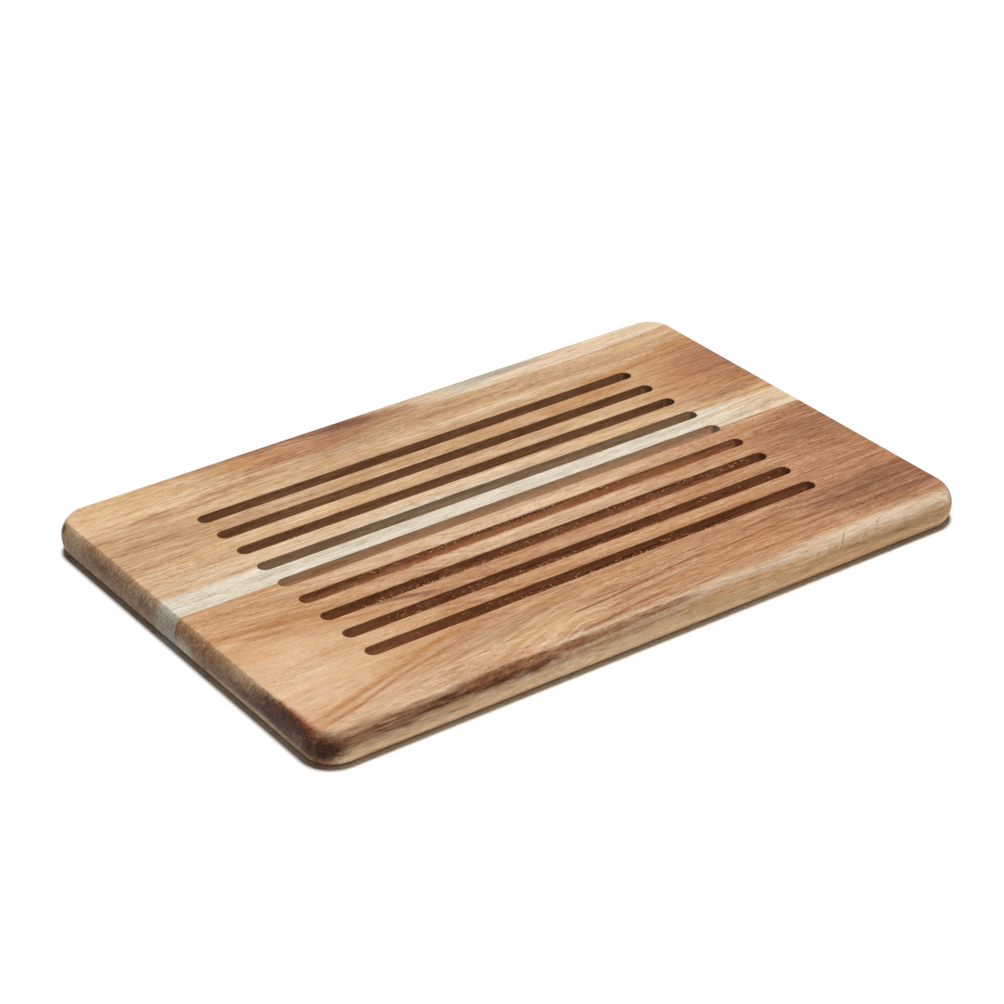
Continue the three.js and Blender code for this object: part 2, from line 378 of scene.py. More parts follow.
FRONT_LINES = (
    # upper arm of the growth arch
    ("deep_orange", 4.2, 0.7, 0.9, 0.3,
     ((-200, -24), (-170, -26.5), (-150, -30), (-130, -34.5), (-110, -40))),
    ("rust", 2.2, 0.9, 0.9, 0.3,
     ((-200, -24), (-165, -27.8), (-150, -30.8), (-138, -33.4), (-112, -40))),
    ("deep_orange", 3.6, 0.7, 0.9, 0.3,
     ((-184, -33), (-160, -35.5), (-138, -39.6), (-118, -46), (-94, -53))),
    ("rust", 1.9, 0.85, 0.9, 0.3,
     ((-180, -34), (-158, -36), (-140, -39.6), (-124, -44), (-98, -52))),
    ("rust", 1.7, 0.85, 0.9, 0.3, ((-130, -42), (-108, -48.5), (-100, -51), (-84, -56))),
    ("red_brown", 3.4, 0.95, 0.9, 0.35,
     ((-124, -38), (-96, -43.3), (-86, -47), (-78, -50), (-56, -56))),
    ("purple_brown", 1.4, 0.55, 0.9, 0.4, ((-112, -40), (-96, -42.8), (-84, -46), (-72, -50.5))),
    ("rust", 2.6, 0.9, 0.9, 0.3, ((-92, -58), (-78, -63), (-66, -69), (-54, -76))),
    ("rust", 2.2, 1.0, 0.8, 0.3, ((-80, -52), (-60, -61.5), (-50, -65), (-42, -68.5), (-26, -77))),
    ("orange_tan", 9.0, 1.0, 0.9, 0.3, ((-64, -52), (-46, -60), (-24, -68), (0, -76))),
    # lower arm of the growth arch
    ("deep_orange", 3.4, 0.95, 0.9, 0.3,
     ((-188, -110), (-165, -105), (-140, -97.5), (-118, -91.6), (-95, -85.4), (-70, -81.5))),
    ("rust", 1.9, 0.95, 0.9, 0.3,
     ((-200, -119), (-175, -113.5), (-160, -110), (-145, -105), (-130, -100.2), (-115, -96.8),
      (-100, -93.5), (-85, -91), (-60, -85))),
    ("red_tan", 1.2, 0.7, 0.9, 0.4, ((-176, -108), (-150, -101.5), (-128, -95), (-104, -89.5))),
    ("red_brown", 3.0, 0.6, 0.9, 0.6, ((-94, -90), (-84, -88.5), (-74, -86))),
    # reddish streaks at the right end
    ("red_brown", 2.6, 0.85, 0.9, 0.5, ((92, -97.4), (122, -99.4), (146, -100.4), (188, -101))),
    ("purple_brown", 1.4, 0.6, 0.9, 0.6, ((112, -92), (134, -93), (160, -93.5), (188, -95))),
    ("purple_brown", 1.2, 0.6, 0.9, 0.6, ((124, -104), (150, -103.4), (188, -105))),
    # brown lines in front of the last groove
    ("umber", 1.2, 0.9, 0.9, 0.4, ((-44, -104), (-28, -102.6), (-8, -101.8), (8, -100))),
    ("umber", 1.0, 0.75, 0.9, 0.4, ((-20, -102.4), (5, -100.3), (30, -97.8), (56, -96))),
    ("umber", 0.8, 0.55, 0.9, 0.5, ((-26, -98), (-10, -99.2), (6, -98.4))),
    ("umber", 0.8, 0.6, 0.9, 0.5, ((-26, -108.6), (-5, -107), (16, -104.6), (44, -102.4))),
    ("umber", 0.7, 0.5, 0.9, 0.5, ((-26, -110), (-5, -108.4), (16, -106), (38, -104.6))),
    ("red_brown", 1.6, 0.95, 0.9, 0.4, ((-44, -118), (-26, -116), (-6, -114), (18, -112.6))),
    ("umber", 0.8, 0.65, 0.9, 0.5, ((48, -98.8), (70, -97.4), (96, -95), (112, -94.6))),
    ("umber", 0.8, 0.5, 0.9, 0.5, ((46, -103.4), (70, -101), (94, -99))),
    ("umber", 0.8, 0.6, 0.9, 0.5, ((40, -111.6), (60, -110.2), (84, -109), (104, -108))),
    ("umber", 0.8, 0.55, 0.9, 0.5, ((76, -90), (96, -88.4), (116, -88))),
    ("umber", 0.8, 0.55, 0.9, 0.5, ((96, -104.6), (112, -103.6), (136, -103))),
    ("umber", 0.8, 0.5, 0.9, 0.5, ((8, -119.6), (26, -117.6), (44, -116.4))),
    ("umber", 0.8, 0.45, 0.9, 0.5, ((0, -94.6), (24, -93), (50, -90.6))),
    # grey dashes in the pale wood
    ("olive_tan", 0.8, 0.8, 0.8, 0.9, ((-94, -98), (-70, -95), (-44, -92.4))),
    ("olive_tan", 0.8, 0.8, 0.8, 0.9, ((-110, -104), (-84, -101), (-50, -98))),
    ("umber", 0.4, 0.45, 0.8, 0.9, ((-96, -107.6), (-76, -105), (-52, -102.6))),
    ("umber", 0.4, 0.4, 0.8, 0.9, ((-130, -112), (-106, -110), (-84, -108.6))),
    # strips between the grooves
    ("red_tan", 0.5, 0.55, 0.9, 0.6, ((70, -29.4), (96, -28.4), (126, -25.4))),
    ("deep_orange", 1.2, 0.5, 0.9, 0.6, ((86, -31), (108, -30), (132, -28))),
    ("red_tan", 0.5, 0.5, 0.9, 0.6, ((66, -66.4), (84, -65.8), (106, -66.6))),
    ("red_tan", 0.5, 0.4, 0.9, 0.6, ((20, -64), (50, -62.6), (80, -64))),
)

# Marks that show only inside the grooves, most of all on their walls
REAR_WALL_MARKS = (
    ("sap_routed", (-10, 21, 8), (220, 6, 40), 0.55, 0.3, 0.05),
    ("joint_routed", (0, 1, 8), (300, 12, 60), 0.95, 0.2, 0.05),
    ("umber", (-100, 6, 14.6), (60, 9, 0.7), 0.35, 0.9, 0.9),
    ("sap_routed", (-10, 41.5, 10.5), (130, 4, 4), 0.6, 0.8, 0.5),
)
FRONT_WALL_MARKS = (
    ("joint_routed", (0, 0, 8), (300, 7, 60), 0.95, 0.2, 0.05),
    ("orange_routed", (14, -15.5, 6), (230, 9.5, 13.2), 1.0, 0.4, 0.3),
    ("orange_routed", (14, -34, 8), (170, 5, 9), 0.4, 0.5, 0.3),
    # painted shadows under the torn fibres, dark ragged streaks along the groove walls
    ("chocolate", (-8, -15, 17.1), (42, 3, 0.7), 0.75, 0.9, 1.6),
    ("chocolate", (74, -34, 16.6), (48, 3, 0.6), 0.75, 0.9, 1.6),
    ("chocolate", (-74, -34, 13.6), (44, 3, 0.6), 0.7, 0.9, 1.6),
    ("chocolate", (-6, -53, 14.4), (44, 3, 0.6), 0.7, 0.9, 1.6),
    ("chocolate", (20, -71, 13.8), (70, 3, 0.6), 0.75, 0.9, 1.6),
)
# Ridge where the router bit turned at the right end of every groove, drawn as a painted highlight
# in a light tone
TURN_RIDGE_HIGHLIGHTS = (("orange_routed", (129.4, 0, 14), (0.35, 400, 5), 0.8, 0.8, 0.2),)

# Noises of the grain: how long and how wide a streak is, detail, and shift
NOISES = {
    "wander": (120, 34, 1.0, 0),
    "dash": (4.5, 0.9, 2.0, 2),
    "line": (14, 0.8, 2.0, 3),
    "streak": (34, 1.6, 3.0, 4),
    "band": (110, 5.0, 2.0, 5),
    "pore": (7, 0.7, 1.0, 7),
    "ripple": (1.5, 1.3, 1.0, 6),
    "cloud": (60, 22, 1.0, 8),
    "torn": (16, 1.2, 2.0, 9),
    "hue": (60, 2.6, 2.0, 10),
    "pit": (30, 1.3, 3.0, 11),
}

# How far the grain wanders from straight
WANDER = 5.0

# How much the dashes, lines, streaks and bands of the grain darken the wood, how much
# pores do, and how much the speckle does, which comes and goes in clouds
GRAIN_STRENGTHS = (0.2, 0.5, 0.8, 0.6)
PORE_STRENGTH = 0.4
RIPPLE_STRENGTH = 0.5
PORE_RANGE = (0.48, 0.8)
CLOUD_RANGE = (0.45, 0.62, 0.4, 1.0)

# Lightness at no darkening, and how fast it falls
LIGHTNESS = 1.4
LIGHTNESS_FALL = -0.4

# Tints of the warm and the cool streaks, which run along with the grain, and the
# range of the noise that brings them in
WARM_STREAK = (1.01, 0.95, 0.86, 1.0)
WARM_RANGE = (0.5, 0.68, 0.0, 0.8)
COOL_STREAK = (0.955, 0.955, 0.96, 1.0)
COOL_RANGE = (0.48, 0.34, 0.0, 0.8)

# Seen from above, where the growth arch in the front plank has its apex and between
# which distances behind it the fan of its grain fades out, and how far
FAN_APEX = (-40.0, -76.0)
FAN_FADE = (48.0, 80.0, 1.0, 0.3)

# Softness of the border of a patch with calmer grain
CALM_SOFTNESS = 0.5

# Span that the growth lines' curves cover, along the board and across it, and the
# share of a line's length over which it fades in and out
LINE_SPAN = (200.0, 130.0)
LINE_FADE = 0.2

# Where wood counts as routed, from none to all: distance from the middle along the
# board and across it, height, and how level the surface is, since floors are cleaner
ROUTED_ALONG = (136, 134)
ROUTED_ACROSS = (82, 80)
ROUTED_HEIGHT = (17.8, 17.2)
ROUTED_LEVEL = (0.5, 0.8, 1.0, 0.1)
ROUTED_STRENGTH = 0.85

# Wood sawn across the grain: how steep the end is, from and to, how much light it
# gives back against the sanded faces, and how much its pits vary that
END_GRAIN_FACING = (0.45, 0.88)
END_GRAIN_TINT = (0.5, 0.49, 0.5)
END_GRAIN_PITS = (0.35, 0.62, 0.72, 1.16)

# Satin finish: roughness over the grain's lines, roughness added by routing,
# reflection, and how deep pores and lines are
SATIN_RANGE = (0.3, 0.7, 0.46, 0.58)
ROUTED_ROUGHNESS = 0.2
WOOD_REFLECTION = 0.14
PORE_RELIEF = -0.7
BUMP_STRENGTH = 0.35
BUMP_DEPTH = 0.1 * MM


class Figure(NamedTuple):
    """How the wood of one plank looks."""

    base: str
    marks: tuple
    lines: tuple
    # tone inside the grooves, and the marks there
    routed: str
    wall_marks: tuple
    # how fast the grain fans out from the arch's apex
    spread: float
    # patch with calmer grain: middle, half size and how much calmer
    calm: tuple
    seed: float


REAR_FIGURE = Figure(
    base="honey",
    marks=REAR_MARKS,
    lines=REAR_LINES,
    routed="rear_routed",
    wall_marks=REAR_WALL_MARKS + TURN_RIDGE_HIGHLIGHTS,
    spread=0.0,
    calm=((170, 72), (110, 66, 60), 0.25),
    seed=11.0,
)
FRONT_FIGURE = Figure(
    base="orange_tan",
    marks=FRONT_MARKS,
    lines=FRONT_LINES,
    routed="front_routed",
    wall_marks=FRONT_WALL_MARKS + TURN_RIDGE_HIGHLIGHTS,
    spread=0.0135,
    calm=((-160, -74), (110, 54, 60), 0.35),
    seed=47.0,
)

# Torn fibres in the grooves: groove counted from the rear, first and last place along
# the board, whether they hang from the far wall or from the near rim, lowest and
# highest root, and how many
FAR = 1
NEAR = -1
GROOVE_FIBRES = (
    (3, -108, -98, NEAR, 17.2, 17.7, 5),
    (6, -100, 60, FAR, 15.8, 17.6, 150),
    (6, -112, 74, NEAR, 17.0, 17.8, 160),
    (6, 74, 122, NEAR, 17.2, 17.8, 14),
    (7, -112, -22, NEAR, 16.6, 17.8, 200),
    (7, -108, -30, FAR, 12.4, 14.4, 60),
    (7, -30, 30, FAR, 13.4, 16.4, 70),
    (7, 30, 62, FAR, 15.4, 17.4, 40),
    (7, 60, 126, FAR, 14.6, 16.8, 70),
    (7, -20, 60, NEAR, 17.0, 17.8, 70),
    (8, -112, -40, FAR, 13.2, 16.0, 50),
    (8, -110, 60, NEAR, 16.8, 17.8, 150),
    (8, -40, 60, FAR, 12.4, 14.0, 70),
    (8, 50, 126, FAR, 14.4, 16.6, 12),
    (9, -112, -40, FAR, 13.4, 16.6, 40),
    (9, -44, 60, FAR, 12.4, 14.0, 60),
    (9, -60, -36, NEAR, 17.0, 17.8, 14),
    (9, -30, 70, NEAR, 17.0, 17.8, 50),
    (9, 36, 50, FAR, 14.0, 16.0, 8),
)

# Long splinters: groove counted from the rear, root, tip and radius, in mm
SPLINTERS = (
    (9, (44.6, -71.0, 14.6), (41.6, -74.6, 16.2), 0.24),
    (9, (-9, -71.0, 14.2), (-13, -73.2, 14.8), 0.2),
    (8, (62, -52.2, 14.6), (60, -54.6, 16.0), 0.18),
    (8, (104, -52.2, 15.0), (101, -55.0, 16.4), 0.2),
    (7, (5, -33.5, 15.4), (3, -35.6, 16.4), 0.2),
    (7, (-44, -41.6, 17.4), (-42, -38.8, 17.8), 0.24),
    (7, (-68, -41.6, 17.4), (-65, -39.4, 17.8), 0.22),
)

# Curls of torn grain along the front edge, as the places each one runs through, in mm
EDGE_CURLS = (
    ((106.4, -125.6, 14.2), (109.0, -124.0, 17.3), (112.0, -121.0, 18.4), (115.4, -119.4, 18.2)),
    ((104.8, -126.0, 12.8), (107.6, -125.0, 15.6), (110.4, -122.9, 17.9), (112.2, -121.9, 18.3)),
    ((99.4, -125.2, 15.0), (101.0, -124.0, 17.2), (103.4, -122.2, 18.2)),
    ((129.6, -124.9, 15.8), (131.6, -122.8, 18.0), (134.4, -121.0, 18.4), (136.4, -120.6, 18.2)),
    ((91.0, -125.6, 13.6), (92.8, -124.7, 15.8), (95.6, -124.0, 17.0)),
    ((121.0, -125.2, 14.4), (122.6, -124.3, 16.6), (125.6, -123.0, 17.8)),
)

# Wiring materials


def linear(channel):
    """Light value of a colour channel that is given as it looks on a screen."""
    if channel <= 0.04045:
        return channel / 12.92
    return ((channel + 0.055) / 1.055) ** 2.4


def paint(colour, darken=1):
    """RGBA for a shader, from a colour setting."""
    return tuple(darken * linear(channel) for channel in colour) + (1.0,)


class Wiring:
    """Adds nodes to a material and joins them up."""

    def __init__(self, material):
        material.use_nodes = True
        self.tree = material.node_tree
        self.tree.nodes.clear()

    def add(self, kind, **settings):
        """A new node with these settings."""
        node = self.tree.nodes.new(kind)
        for name, value in settings.items():
            setattr(node, name, value)
        return node

    def feed(self, socket, value):
        """Gives a socket its value, or joins it to the output that holds it."""
        if isinstance(value, bpy.types.NodeSocket):
            self.tree.links.new(value, socket)
        else:
            socket.default_value = value

    def maths(self, operation, *values, kind="ShaderNodeMath"):
        """A sum, a product or the like of numbers."""
        node = self.add(kind, operation=operation)
        for socket, value in zip(node.inputs, values):
            self.feed(socket, value)
        return node.outputs[0]

    def vector(self, operation, *values):
        """A sum, a product or the like of vectors."""
        return self.maths(operation, *values, kind="ShaderNodeVectorMath")

    def scaled(self, vector, factor):
        """A vector times a number."""
        node = self.add("ShaderNodeVectorMath", operation="SCALE")
        self.feed(node.inputs[0], vector)
        self.feed(node.inputs["Scale"], factor)
        return node.outputs[0]

    def place(self):
        """Where a point of the piece is, in mm."""
        return self.scaled(self.add("ShaderNodeTexCoord").outputs["Object"], PER_METRE)

    def split(self, vector):
        """The three parts of a vector."""
        node = self.add("ShaderNodeSeparateXYZ")
        self.feed(node.inputs[0], vector)
        return node.outputs

    def join(self, *parts):
        """A vector made of three parts, where a part that isn't given is zero."""
        node = self.add("ShaderNodeCombineXYZ")
        for socket, part in zip(node.inputs, parts):
            self.feed(socket, part)
        return node.outputs[0]

    def ramp(self, value, low, high, start=0.0, end=1.0):
        """A value's way from low to high, turned softly into one from start to end."""
        node = self.add("ShaderNodeMapRange", interpolation_type="SMOOTHSTEP")
        for socket, number in zip(node.inputs, (value, low, high, start, end)):
            self.feed(socket, number)
        return node.outputs[0]

    def blend(self, amount, first, second, mode="MIX"):
        """The first colour, which turns into the second as the amount rises."""
        node = self.add("ShaderNodeMix", data_type="RGBA", blend_type=mode)
        self.feed(node.inputs[0], amount)
        self.feed(node.inputs[6], first)
        self.feed(node.inputs[7], second)
        return node.outputs[2]

    def grain(self, place, along, across, detail, shift):
        """Noise drawn out along the grain: how long and how wide a streak is."""
        mapping = self.add("ShaderNodeMapping")
        self.feed(mapping.inputs["Vector"], place)
        mapping.inputs["Location"].default_value = (shift, shift, shift)
        mapping.inputs["Scale"].default_value = (1 / along, 1 / across, 1 / across)
        noise = self.add("ShaderNodeTexNoise")
        self.feed(noise.inputs["Vector"], mapping.outputs[0])
        noise.inputs["Scale"].default_value = 1.0
        noise.inputs["Detail"].default_value = detail
        return noise.outputs[0]

    def noise(self, kind, place, seed):
        """One of the grain's noises."""
        along, across, detail, shift = NOISES[kind]
        return self.grain(place, along, across, detail, seed + shift)

    def even_noise(self, kind, place, seed):
        """One of the grain's noises, about zero."""
        return self.maths("SUBTRACT", self.noise(kind, place, seed), 0.5)

    def mark(self, place, torn, middle, half_size, strength, softness, raggedness, turn=0):
        """How strongly a mark in the wood shows at a place."""
        middle = (*middle, BOARD_TOP)[:3]
        if turn:
            turned = self.add("ShaderNodeVectorRotate", rotation_type="Z_AXIS")
            self.feed(turned.inputs["Vector"], place)
            turned.inputs["Center"].default_value = middle
            turned.inputs["Angle"].default_value = -math.radians(turn)
            place = turned.outputs[0]
        scale = [1 / size for size in half_size]
        shift = [-place_at / size for place_at, size in zip(middle, half_size)]
        offset = self.vector("MULTIPLY_ADD", place, scale, shift)
        length = self.add("ShaderNodeVectorMath", operation="LENGTH")
        self.feed(length.inputs[0], offset)
        reach = self.maths("MULTIPLY_ADD", torn, 2 * raggedness, length.outputs["Value"])
        return self.ramp(reach, 1.0, 1.0 - softness, 0.0, strength)

    def line(self, spot, torn, half_width, strength, softness, raggedness, points):
        """How strongly a growth line shows at a place."""
        reach_x, reach_y = LINE_SPAN
        along = self.maths("MULTIPLY_ADD", spot[0], 0.5 / reach_x, 0.5)
        node = self.add("ShaderNodeFloatCurve")
        self.feed(node.inputs["Value"], along)
        curve = node.mapping.curves[0]
        places = [(0.5 + 0.5 * x / reach_x, 0.5 + 0.5 * y / reach_y) for x, y in points]
        curve.points[0].location = places[0]
        curve.points[1].location = places[-1]
        for middle in places[1:-1]:
            curve.points.new(*middle)
        node.mapping.update()
        height = self.maths("MULTIPLY_ADD", node.outputs[0], 2 * reach_y, -reach_y)
        off = self.maths("ABSOLUTE", self.maths("SUBTRACT", spot[1], height))
        off = self.maths("DIVIDE", off, half_width)
        off = self.maths("MULTIPLY_ADD", torn, 2 * raggedness, off)
        amount = self.ramp(off, 1.0, 1.0 - softness, 0.0, strength)
        first, last = points[0][0], points[-1][0]
        fade = LINE_FADE * (last - first)
        starts = self.ramp(spot[0], first, first + fade)
        stops = self.ramp(spot[0], last, last - fade)
        return self.maths("MULTIPLY", amount, self.maths("MULTIPLY", starts, stops))

    def finish(self, colour, roughness, reflection=None, normal=None):
        """Ends the material in one shader."""
        shader = self.add("ShaderNodeBsdfPrincipled")
        self.feed(shader.inputs["Base Color"], colour)
        self.feed(shader.inputs["Roughness"], roughness)
        if reflection is not None:
            shader.inputs["Specular IOR Level"].default_value = reflection
        if normal is not None:
            self.feed(shader.inputs["Normal"], normal)
        output = self.add("ShaderNodeOutputMaterial")
        self.feed(output.inputs["Surface"], shader.outputs[0])

    def finish_by_ray(self, plain, bright, output_kind):
        """Shows the bright shader to the camera, mirrors and glass, else the plain one."""
        rays = self.add("ShaderNodeLightPath").outputs
        seen = self.maths("MAXIMUM", rays["Is Camera Ray"], rays["Is Glossy Ray"])
        seen = self.maths("MAXIMUM", seen, rays["Is Transmission Ray"])
        choice = self.add("ShaderNodeMixShader")
        for socket, value in zip(choice.inputs, (seen, plain, bright)):
            self.feed(socket, value)
        output = self.add(output_kind)
        self.feed(output.inputs["Surface"], choice.outputs[0])


def grown_place(wood, place, seed):
    """A place in straight wood, for one in wood whose grain wanders."""
    wander = wood.maths("MULTIPLY", wood.even_noise("wander", place, seed), WANDER)
    return wood.vector("ADD", place, wood.join(0.0, wander, wander))


def fanned_place(wood, place, spread):
    """A place in straight wood, for one where the grain fans out to the left."""
    spot = wood.split(place)
    beyond = wood.maths("MAXIMUM", wood.maths("SUBTRACT", FAN_APEX[0], spot[0]), 0.0)
    off = wood.maths("SUBTRACT", spot[1], FAN_APEX[1])
    beyond = wood.maths("MULTIPLY", beyond, wood.ramp(off, *FAN_FADE))
    wide = wood.maths("MULTIPLY_ADD", beyond, spread, 1.0)
    return wood.join(spot[0], wood.maths("DIVIDE", off, wide), spot[2])


def figured_colour(wood, tones, figure, grown, fanned, torn):
    """Colour of the sanded wood: marks, growth lines, warm and cool streaks; one mark at the left
    end is painted contact shade.
    """
    colour = tones[figure.base]
    for tint, *shape in figure.marks:
        colour = wood.blend(wood.mark(grown, torn, *shape), colour, tones[tint])
    spot = wood.split(grown)
    for tint, *shape in figure.lines:
        colour = wood.blend(wood.line(spot, torn, *shape), colour, tones[tint])
    hue = wood.noise("hue", fanned, figure.seed)
    for streak, span in ((WARM_STREAK, WARM_RANGE), (COOL_STREAK, COOL_RANGE)):
        colour = wood.blend(wood.ramp(hue, *span), colour, streak, "MULTIPLY")
    return colour


def routed_share(wood, place):
    """How much of a place the router bit left bare, and which way the surface faces."""
    spot = wood.split(place)
    inside = wood.ramp(wood.maths("ABSOLUTE", spot[0]), *ROUTED_ALONG)
    across = wood.ramp(wood.maths("ABSOLUTE", spot[1]), *ROUTED_ACROSS)
    inside = wood.maths("MULTIPLY", inside, across)
    inside = wood.maths("MULTIPLY", inside, wood.ramp(spot[2], *ROUTED_HEIGHT))
    facing = wood.split(wood.add("ShaderNodeNewGeometry").outputs["Normal"])
    level = wood.ramp(wood.maths("ABSOLUTE", facing[2]), *ROUTED_LEVEL)
    return wood.maths("MULTIPLY", inside, level), facing


def routed_colour(wood, tones, figure, colour, inside, grown, torn):
    """The wood's colour with the torn wood of the grooves over it, and the marks on the walls,
    among them painted shadows and painted highlights.
    """
    amount = wood.maths("MULTIPLY", inside, ROUTED_STRENGTH)
    colour = wood.blend(amount, colour, tones[figure.routed])
    for tint, *shape in figure.wall_marks:
        amount = wood.maths("MULTIPLY", wood.mark(grown, torn, *shape), inside)
        colour = wood.blend(amount, colour, tones[tint])
    return colour


def grain_depth(wood, grown, grains, pore, ripple, calm):
    """How much the grain darkens the wood at a place, about one."""
    depth = 1.0 + 0.5 * sum(GRAIN_STRENGTHS)
    for noise, strength in zip(grains, GRAIN_STRENGTHS):
        depth = wood.maths("MULTIPLY_ADD", noise, -strength, depth)
    depth = wood.maths("MULTIPLY_ADD", pore, PORE_STRENGTH, depth)
    middle, half_size, strength = calm
    even = wood.mark(grown, 0.0, middle, half_size, -strength, CALM_SOFTNESS, 0.0)
    depth = wood.maths("SUBTRACT", depth, 1.0)
    depth = wood.maths("MULTIPLY_ADD", wood.maths("ADD", even, 1.0), depth, 1.0)
    return wood.maths("MULTIPLY_ADD", ripple, RIPPLE_STRENGTH, depth)


def darkened(wood, colour, depth):
    """A colour made deeper and darker by the grain."""
    gamma = wood.add("ShaderNodeGamma")
    wood.feed(gamma.inputs[0], colour)
    wood.feed(gamma.inputs[1], depth)
    lightness = wood.maths("MULTIPLY_ADD", depth, LIGHTNESS_FALL, LIGHTNESS)
    shade = wood.add("ShaderNodeCombineColor")
    for socket in shade.inputs:
        wood.feed(socket, lightness)
    return wood.blend(1.0, gamma.outputs[0], shade.outputs[0], "MULTIPLY")


def with_end_grain(wood, colour, place, facing, seed):
    """A colour that turns dark and pitted where the wood is sawn across the grain."""
    end_grain = wood.ramp(wood.maths("ABSOLUTE", facing[0]), *END_GRAIN_FACING)
    pits = wood.ramp(wood.noise("pit", place, seed), *END_GRAIN_PITS)
    return wood.blend(end_grain, colour, wood.scaled(END_GRAIN_TINT, pits), "MULTIPLY")


def plank_wood(name, colours, figure):
    """Figured wood of one plank, oiled to a satin finish."""
    material = bpy.data.materials.new(name)
    wood = Wiring(material)
    seed = figure.seed
    place = wood.place()
    grown = grown_place(wood, place, seed)
    fanned = fanned_place(wood, grown, figure.spread)
    grains = [wood.noise(kind, grown, seed) for kind in ("dash", "line")]
    grains += [wood.noise(kind, fanned, seed) for kind in ("streak", "band")]
    pore = wood.ramp(wood.noise("pore", grown, seed), *PORE_RANGE)
    ripple = wood.even_noise("ripple", grown, seed)
    cloud = wood.ramp(wood.noise("cloud", grown, seed), *CLOUD_RANGE)
    ripple = wood.maths("MULTIPLY", ripple, cloud)
    torn = wood.even_noise("torn", grown, seed)

    tones = {tint: paint(getattr(colours, tint)) for tint in BreadBoardColours.__annotations__}
    colour = figured_colour(wood, tones, figure, grown, fanned, torn)
    inside, facing = routed_share(wood, place)
    colour = routed_colour(wood, tones, figure, colour, inside, grown, torn)
    depth = grain_depth(wood, grown, grains, pore, ripple, figure.calm)
    colour = darkened(wood, colour, depth)
    colour = with_end_grain(wood, colour, place, facing, seed)

    fine = grains[1]
    satin = wood.ramp(fine, *SATIN_RANGE)
    satin = wood.maths("MULTIPLY_ADD", inside, ROUTED_ROUGHNESS, satin)
    bump = wood.add("ShaderNodeBump")
    bump.inputs["Strength"].default_value = BUMP_STRENGTH
    bump.inputs["Distance"].default_value = BUMP_DEPTH
    relief = wood.maths("MULTIPLY_ADD", pore, PORE_RELIEF, fine)
    wood.feed(bump.inputs["Height"], relief)
    wood.finish(colour, satin, WOOD_REFLECTION, bump.outputs[0])
    return material


def cloudy_material(name, colour, darkest, cloud_size, shift, roughness, reflection=None):
    """One tone that soft clouds darken: how dark, how large they are, and their shift."""
    material = bpy.data.materials.new(name)
    wiring = Wiring(material)
    clouds = wiring.grain(wiring.place(), *cloud_size, 2.0, shift)
    cloudy = wiring.blend(wiring.ramp(clouds, 0.35, 0.65), paint(colour, darkest), paint(colour))
    wiring.finish(cloudy, roughness, reflection)
    return material


def fibre_material(name, colour):
    """Torn wood, paler and rougher than the sanded faces."""
    return cloudy_material(name, colour, 0.55, (3, 2), 5.0, 0.7, WOOD_REFLECTION)


# Shaping the pieces

# Sides of the circles that the board's corners and the groove's ends are made of,
# rings of the edge above and below its middle, and sides of a fibre
CORNER_SIDES = 96
EDGE_RINGS = 9
GROOVE_SIDES = 40
FIBRE_SIDES = 5

# Rim of a groove from the wall to the top face: how far out and how high, both as
# shares of its width, up to past the top, where the cutter ends
RIM_STEPS = ((0, -1), (0.35, -0.4), (1, 0), (2, 1))

# Edges that turn more than this stay sharp, and points this close are one
SHARP_TURN = math.radians(32)
SAME_PLACE = 1e-6

# Fibres, in mm: how deep they root in the wall, how far they may rise past the board's
# top, how much thinner the tip is, the shares of the length that they bend at, their
# length and radius, the radius of a curl, and how high a splinter bends up
FIBRE_ROOT = 0.15
FIBRE_RISE = 0.1
FIBRE_TAPER = 0.75
FIBRE_BENDS = (0, 0.35, 0.7, 1)
FIBRE_LENGTH = (0.6, 1.7)
FIBRE_RADIUS = (0.14, 0.34)
CURL_RADIUS = 0.2
SPLINTER_BEND = Vector((0, 0, 0.5))


def edges_of(verts):
    """The edges that meet at these vertices, in a fixed order."""
    return list(dict.fromkeys(edge for vert in verts for edge in vert.link_edges))


def bridge(work, rings):
    """Joins rings of edges into a closed skin, from the first to the last."""
    for lower, upper in zip(rings, rings[1:]):
        bmesh.ops.bridge_loops(work, edges=lower + upper)
    bmesh.ops.edgeloop_fill(work, edges=rings[0])
    bmesh.ops.edgeloop_fill(work, edges=rings[-1])


def half_turned_circle(work, sides, radius):
    """A level circle whose corners lie on neither axis."""
    turn = Matrix.Rotation(math.pi / sides, 4, "Z")
    circle = bmesh.ops.create_circle(work, segments=sides, radius=radius, matrix=turn)
    return circle["verts"]


def ring_of_board(blank, sizes, inset, height):
    """One level outline of the board, this far inside its widest outline."""
    radius = (sizes.corner_radius - inset) / math.cos(math.pi / CORNER_SIDES)
    verts = half_turned_circle(blank, CORNER_SIDES, radius)
    reach_x = sizes.length / 2 - sizes.corner_radius
    reach_y = sizes.width / 2 - sizes.corner_radius
    for vert in verts:
        vert.co.x += math.copysign(reach_x, vert.co.x)
        vert.co.y += math.copysign(reach_y, vert.co.y)
        vert.co.z = height
    return edges_of(verts)


def board_blank(sizes):
    """The glued-up board before the grooves, its edge rounded in one arc."""
    arc_height = (sizes.thickness - sizes.edge_flat) / 2
    bulge = sizes.edge_bulge
    radius = (arc_height**2 + bulge**2) / (2 * bulge)
    widest = math.asin(arc_height / radius)
    blank = bmesh.new()
    rings = []
    for side in (-1, 1):
        for step in range(EDGE_RINGS + 1):
            angle = widest * (EDGE_RINGS - step if side < 0 else step) / EDGE_RINGS
            inset = radius * (1 - math.cos(angle))
            rise = radius * math.sin(angle) + sizes.edge_flat / 2
            height = sizes.thickness / 2 + side * rise
            rings.append(ring_of_board(blank, sizes, inset, height))
    bridge(blank, rings)
    bmesh.ops.recalc_face_normals(blank, faces=blank.faces)
    bmesh.ops.bevel(
        blank,
        geom=rings[0] + rings[-1],
        offset=sizes.crease,
        segments=2,
        profile=0.5,
        affect="EDGES",
        material=-1,
    )
    return blank


